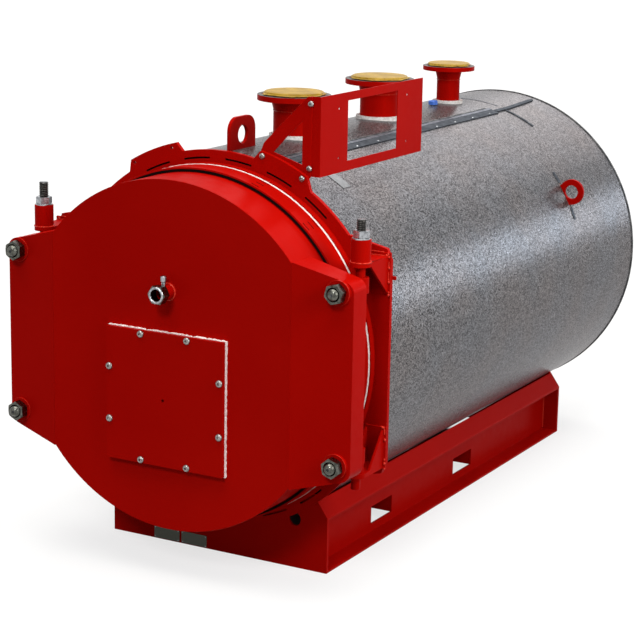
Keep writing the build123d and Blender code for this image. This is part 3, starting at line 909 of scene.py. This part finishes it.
# Each strip: inner and outer radius, start and end angle, near and far end, look, steps, rounding
strip("channel_cover", 0.6090, CHANNEL_TOP, 73.9, 75.2, CHANNEL_START, CHANNEL_END, SHEET, 3)
# The side strip takes the darker sheet, the cover strip the lighter one
strip("channel_side", 0.6090, 0.6140, 70.9, 73.9, CHANNEL_START, CHANNEL_END, DARKER_SHEET, 3)
strip("channel_back", 0.6090, 0.6165, 75.2, 75.8, CHANNEL_START, 1.990, TRIM_AND_SHADE, 2, 0.0004)
strip("short_strip", 0.6095, 0.6115, 55.5, 62, 0.490, 0.540, PALE_SHEET, 10, 0.0004)
strip("rim_trim", 0.6088, 0.6128, -90, 269.99, 2.470, 2.4795, TRIM_AND_SHADE, 180, 0.0006)
strip("seam_lap", 0.6092, 0.6112, 75.8, 91, 2.118, 2.124, SHEET, 12, 0.0004)
strip("seam_strap", 0.6092, 0.6130, 59.5, 73.5, 2.099, 2.112, DARKER_SHEET, 12, 0.0006)
tail = [(on_x(72.5), 2.015), (on_x(72.5), 2.140), (on_x(74.0), 2.420)]
ribbon("channel_tail", tail, 0.015, CHANNEL_FOOT, CHANNEL_TOP, DARKER_SHEET)


def rivets():
    angle, seat_r, first, pitch, count = 71.6, 0.6139, 0.403, 0.1545, 11
    heads = []
    for k in range(count):
        head = turned([(0, 0), (0.0042, 0), (0.0042, 0.0006), (0.0028, 0.0020), (0, 0.0025)],
                      Vector((0, 0, 0)), steps=16)
        turn = Matrix.Rotation(math.radians(90 - angle), 4, "Y")
        centre = polar(seat_r, angle, first + pitch * k)
        bmesh.ops.transform(head, matrix=Matrix.Translation(centre) @ turn, verts=head.verts)
        heads.append(head)
    finished(joined(heads), "channel_rivets", BODY, ZINC, weighted=False)


rivets()

# Start and end angle of each slit on the right side
SLITS = {"upper": (34.4, 38.9), "lower": (20.3, 24.8)}
for side in ("right", "left"):
    for label, (start, end) in SLITS.items():
        a, b = (start, end) if side == "right" else (180 - end, 180 - start)
        strip(f"slit_cover_{side}_{label}", 0.6085, 0.6118, a, b, 1.919, 1.937, DARKER_SHEET, 6, 0.0004)


# Control bracket screws and spare ring screws
def bracket_screws():
    radius, height, gusset_face, ring_face, circle_r = 0.0100, 0.0065, 0.300, 0.285, 0.637
    heads = []
    for x, z in ((0.329, 1.518), (0.326, 1.316)):
        heads.append(moved(button_screw(radius, height, turn=15), at(x, gusset_face, z), "-Y"))
    for angle in (61, 75):
        place = polar(circle_r, angle, ring_face)
        heads.append(moved(button_screw(radius, height, turn=40), place, "-Y"))
    finished(joined(heads), "bracket_screws", BODY, SCREW, weighted=False)


bracket_screws()


# Bare rating plates on the base
def rating_plates():
    height, thick, middle, back, inset = 0.041, 0.0012, 0.0235, 0.2994, 0.005
    for k, (x0, x1) in enumerate(((-0.251, -0.150), (-0.142, -0.042))):
        place = at((x0 + x1) / 2, back, middle)
        plate = front_plate((x1 - x0, thick, height), place, radius=0.003, steps=4)
        finished(plate, f"rating_plate_{k + 1}", BODY, PLATE)
        studs = [moved(button_screw(radius=0.0018, height=0.001), at(x, back - thick / 2, z), "-Y")
                 for x in (x0 + inset, x1 - inset) for z in (middle - 0.016, middle + 0.016)]
        finished(joined(studs), f"rating_plate_pins_{k + 1}", BODY, ZINC, weighted=False)


rating_plates()


# Smoke tubes behind the tube sheet, in two rows given as radius, first angle, step and count
TUBE_ROWS = ((0.455, -54, 16, 19), (0.355, -18, 21.6, 11))


def smoke_tubes():
    start, length = 0.290, 1.93
    tubes = []
    for radius, first, step, count in TUBE_ROWS:
        for k in range(count):
            place = polar(radius, first + step * k, start)
            tubes.append(turned(plain_ring(bore=0.0285, outer=0.0318, height=length), place, "Y", 28))
    finished(joined(tubes), "smoke_tubes", BODY, FURNACE_STEEL, weighted=False)


smoke_tubes()


# Weld beads, small tab, and slots and a gap in painted shade
def bracket_welds(side, mirror, shelf):
    """Beads and drops round the hinge brackets of one side. Shelf is the upper bracket's level."""
    def p(px, back, z):
        return at(px * mirror, back, z)

    top = shelf + 0.014
    edge, face = 0.6240, 0.2765
    beads = [bead([p(0.560, 0.2760, top + 0.001), p(0.619, 0.2760, top + 0.001)], 0.0022),
             bead([p(0.562, 0.2775, top + 0.012), p(0.606, 0.2775, top + 0.012)], 0.0020),
             bead([p(edge, face, shelf - 0.002), p(edge, face, shelf - 0.020)], 0.0022),
             bead([p(edge, face, shelf - 0.034), p(edge, face, shelf - 0.060)], 0.0018),
             ring_bead(p(PIN_X, PIN_BACK, top + 0.0005), 0.0318, 0.0022, axis="Z", count=52),
             bead([p(0.610, 0.2775, 0.5340), p(0.622, 0.2775, 0.5330), p(0.6250, 0.2770, 0.5230),
                   p(0.6250, 0.2770, 0.5100)], 0.0024)]
    skin = 0.2755
    drops = [p(0.6250, skin, shelf + 0.012), p(0.6250, skin, shelf - 0.022), p(0.6255, skin, shelf - 0.066),
             p(0.6255, skin, shelf - 0.098), p(0.6255, skin, shelf - 0.106), p(0.6160, skin, top + 0.002),
             p(0.6215, 0.2770, top + 0.006), p(0.6205, PIN_BACK + 0.004, top + 0.003),
             p(0.6180, skin, 0.5320), p(0.6265, skin, 0.4930), p(0.6270, skin, 0.4280),
             p(0.6270, skin, 0.4160), p(0.6275, skin, 0.3990)]
    weld(joined(beads + lumps(drops, 0.0038)), f"bracket_welds_{side}", BODY)


bracket_welds("right", mirror=1, shelf=1.062)
bracket_welds("left", mirror=-1, shelf=1.048)


def ring_tab():
    """The small tab behind the right ear of the ring plate."""
    tab = front_plate((0.018, 0.004, 0.012), at(0.629, 0.3021, 1.005), radius=0.0035, steps=3)
    finished(tab, "ring_tab", BODY, RED)


ring_tab()


def frame_slot_shade():
    """Two groups of three short slots in the band of the door frame, as bars painted with shade."""
    bar_size, band_r = (0.0010, 0.0022, 0.030), 0.5780
    bars = []
    for degrees in (69.4, 48.1):
        for back in (0.180, 0.209, 0.238):
            bar = block(bar_size)
            spin = Matrix.Rotation(math.radians(-degrees), 4, "Y")
            centre = polar(band_r, degrees, back)
            bmesh.ops.transform(bar, matrix=Matrix.Translation(centre) @ spin, verts=bar.verts)
            bars.append(bar)
    finished(joined(bars), "frame_slot_shade", DOOR, PAINTED_SHADE, weighted=False)


def frame_gap_shade():
    """A thin ring painted with shade, for the dark gap between the band and the frame of the door."""
    ring = turned(plain_ring(bore=0.5640, outer=0.5725, height=0.0008), at(0, 0.1674, AXIS), "Y", 240)
    finished(ring, "frame_gap_shade", DOOR, PAINTED_SHADE, weighted=False)


frame_slot_shade()
frame_gap_shade()


def body_welds():
    """Upright beads inside the base plates, and beads along the fork pockets."""
    radius, corner_x, beam_x, pocket_top = 0.003, 0.3555, 0.345, 0.103
    beads = []
    for mirror in (1, -1):
        x = corner_x * mirror
        for back in (0.3135, 2.2305):
            beads.append(bead([at(x, back, 0.010), at(x, back, 0.180)], radius))
        x = beam_x * mirror
        for near, far in ((0.722, 0.888), (1.375, 1.543)):
            beads.append(bead([at(x, near, pocket_top), at(x, far, pocket_top)], radius))
    weld(joined(beads), "body_welds", BODY)


body_welds()
weld(ring_bead(at(0, 0.1665, AXIS), 0.5515, radius=0.0013, count=240), "door_welds", DOOR)


# Floor, lights and camera. These kinds of ray see the pale floor and the white background.
SHOWN = ("Is Camera Ray", "Is Glossy Ray", "Is Transmission Ray")


def seen_rays(tree):
    """One value that is 1 for each kind of ray that shows the background."""
    rays = tree.nodes.new("ShaderNodeLightPath")
    seen = rays.outputs[SHOWN[0]]
    for kind in SHOWN[1:]:
        seen = worked(tree, "MAXIMUM", seen, rays.outputs[kind])
    return seen


def blended(tree, factor, first, second, target):
    """Two shaders mixed by the factor, into the output node of the given name."""
    blend = tree.nodes.new("ShaderNodeMixShader")
    for index, output in enumerate((factor, first.outputs[0], second.outputs[0])):
        tree.links.new(output, blend.inputs[index])
    tree.links.new(blend.outputs[0], tree.nodes[target].inputs["Surface"])


def floor():
    """A pale floor that shows nearly white and casts little light back, with a painted shadow: dark and
    without glow under the base.
    """
    bm = bmesh.new()
    bmesh.ops.create_grid(bm, x_segments=1, y_segments=1, size=30.0)
    mesh = bpy.data.meshes.new("floor")
    bm.to_mesh(mesh)
    bm.free()
    plane = placed("floor", mesh)
    f = Finish("pale floor", (0.8, 0.8, 0.8), roughness=0.9, specular=0.0)
    seen = seen_rays(f.tree)
    spot = f.node("SeparateXYZ", Vector=f.place)
    # Painted shadow: under the base the floor takes a dark colour and loses its glow
    inside = []
    for axis, reach in (("X", 0.24), ("Y", 0.81)):
        away = worked(f.tree, "ABSOLUTE", spot.outputs[axis])
        inside.append(f.spread(away, reach - 0.04, reach, 1.0, 0.0))
    under = worked(f.tree, "MULTIPLY", *inside)
    pale = f.mix(seen, (0.14, 0.14, 0.145), (0.88, 0.88, 0.88))
    f.link(f.mix(under, pale, (0.10, 0.10, 0.10)), "Base Color")
    glow = f.node("Emission", Color=(1, 1, 1, 1), Strength=1.0)
    glow_share = 0.72
    lifted = worked(f.tree, "MULTIPLY", seen, f.spread(under, 0.0, 1.0, 1.0, 0.0))
    share = worked(f.tree, "MULTIPLY", lifted, glow_share)
    blended(f.tree, share, f.shader, glow, "Material Output")
    mesh.materials.append(f.material)


def world():
    """A weak bluish light all round, with a background that shows white."""
    made = bpy.data.worlds.new("studio")
    bpy.context.scene.world = made
    made.use_nodes = True
    tree = made.node_tree
    back = tree.nodes["Background"]
    back.inputs["Color"].default_value = (0.85, 0.90, 1.0, 1)
    back.inputs["Strength"].default_value = 0.17
    white = tree.nodes.new("ShaderNodeBackground")
    white.inputs["Color"].default_value = (1, 1, 1, 1)
    white.inputs["Strength"].default_value = 1.0
    blended(tree, seen_rays(tree), back, white, "World Output")


def aimed(light, place, toward):
    """A lamp at a place, whose light comes from the given direction."""
    holder = placed(light.name, light)
    holder.location = place
    holder.rotation_euler = toward.to_track_quat("Z", "Y").to_euler()


def sun(name, toward, power, spread, colour=(1, 1, 1)):
    """An even light that comes from the given direction, softened by its spread in degrees."""
    light = bpy.data.lights.new(name, "SUN")
    light.energy = power
    light.angle = math.radians(spread)
    light.color = colour
    aimed(light, Vector(toward).normalized() * 6, Vector(toward))


def side_lamp():
    """A soft lamp beside the door, whose light fades along the boiler."""
    light = bpy.data.lights.new("side lamp", "AREA")
    light.energy = 24.0
    light.shape = "DISK"
    light.size = 0.9
    light.color = (1.0, 0.98, 0.95)
    aimed(light, (2.3, -1.25, 1.9), Vector((1.9, -0.1, 0.75)))


def camera():
    """The photograph's viewpoint, with its turn, tilt and roll in degrees."""
    turn, tilt, roll = (math.radians(a) for a in (28.89, 13.18, 1.09))
    ahead = Vector((-math.sin(turn) * math.cos(tilt), math.cos(turn) * math.cos(tilt), -math.sin(tilt)))
    right = Vector((math.cos(turn), math.sin(turn), 0))
    up = right.cross(ahead)
    level_right = right * math.cos(roll) + up * math.sin(roll)
    level_up = up * math.cos(roll) - right * math.sin(roll)
    lens = bpy.data.cameras.new("camera")
    lens.sensor_width = 36.0
    lens.lens = 111.17
    lens.clip_end = 100
    holder = placed("camera", lens)
    spin = Matrix((level_right, level_up, -ahead)).transposed()
    holder.matrix_world = Matrix.Translation(at(3.30441, -5.00946, 2.26009)) @ spin.to_4x4()
    bpy.context.scene.camera = holder


floor()
world()
# Each sun: where its light comes from, its power, its spread and its colour
sun("ceiling lights", (0.0, 0.0, 1.0), 3.3, 60, (1.0, 0.97, 0.92))
sun("front key", (0.16, -0.76, 0.63), 1.15, 13)
sun("right fill", (0.93, -0.12, 0.35), 0.9, 36, (1.0, 0.98, 0.95))
side_lamp()
sun("right rear window", (0.42, 0.90, 0.10), 0.24, 12, (0.80, 0.90, 1.0))
sun("rear window", (-0.10, 0.90, 0.40), 0.42, 34, (1.0, 0.96, 0.95))
camera()
bpy.context.scene.view_settings.view_transform = "Standard"
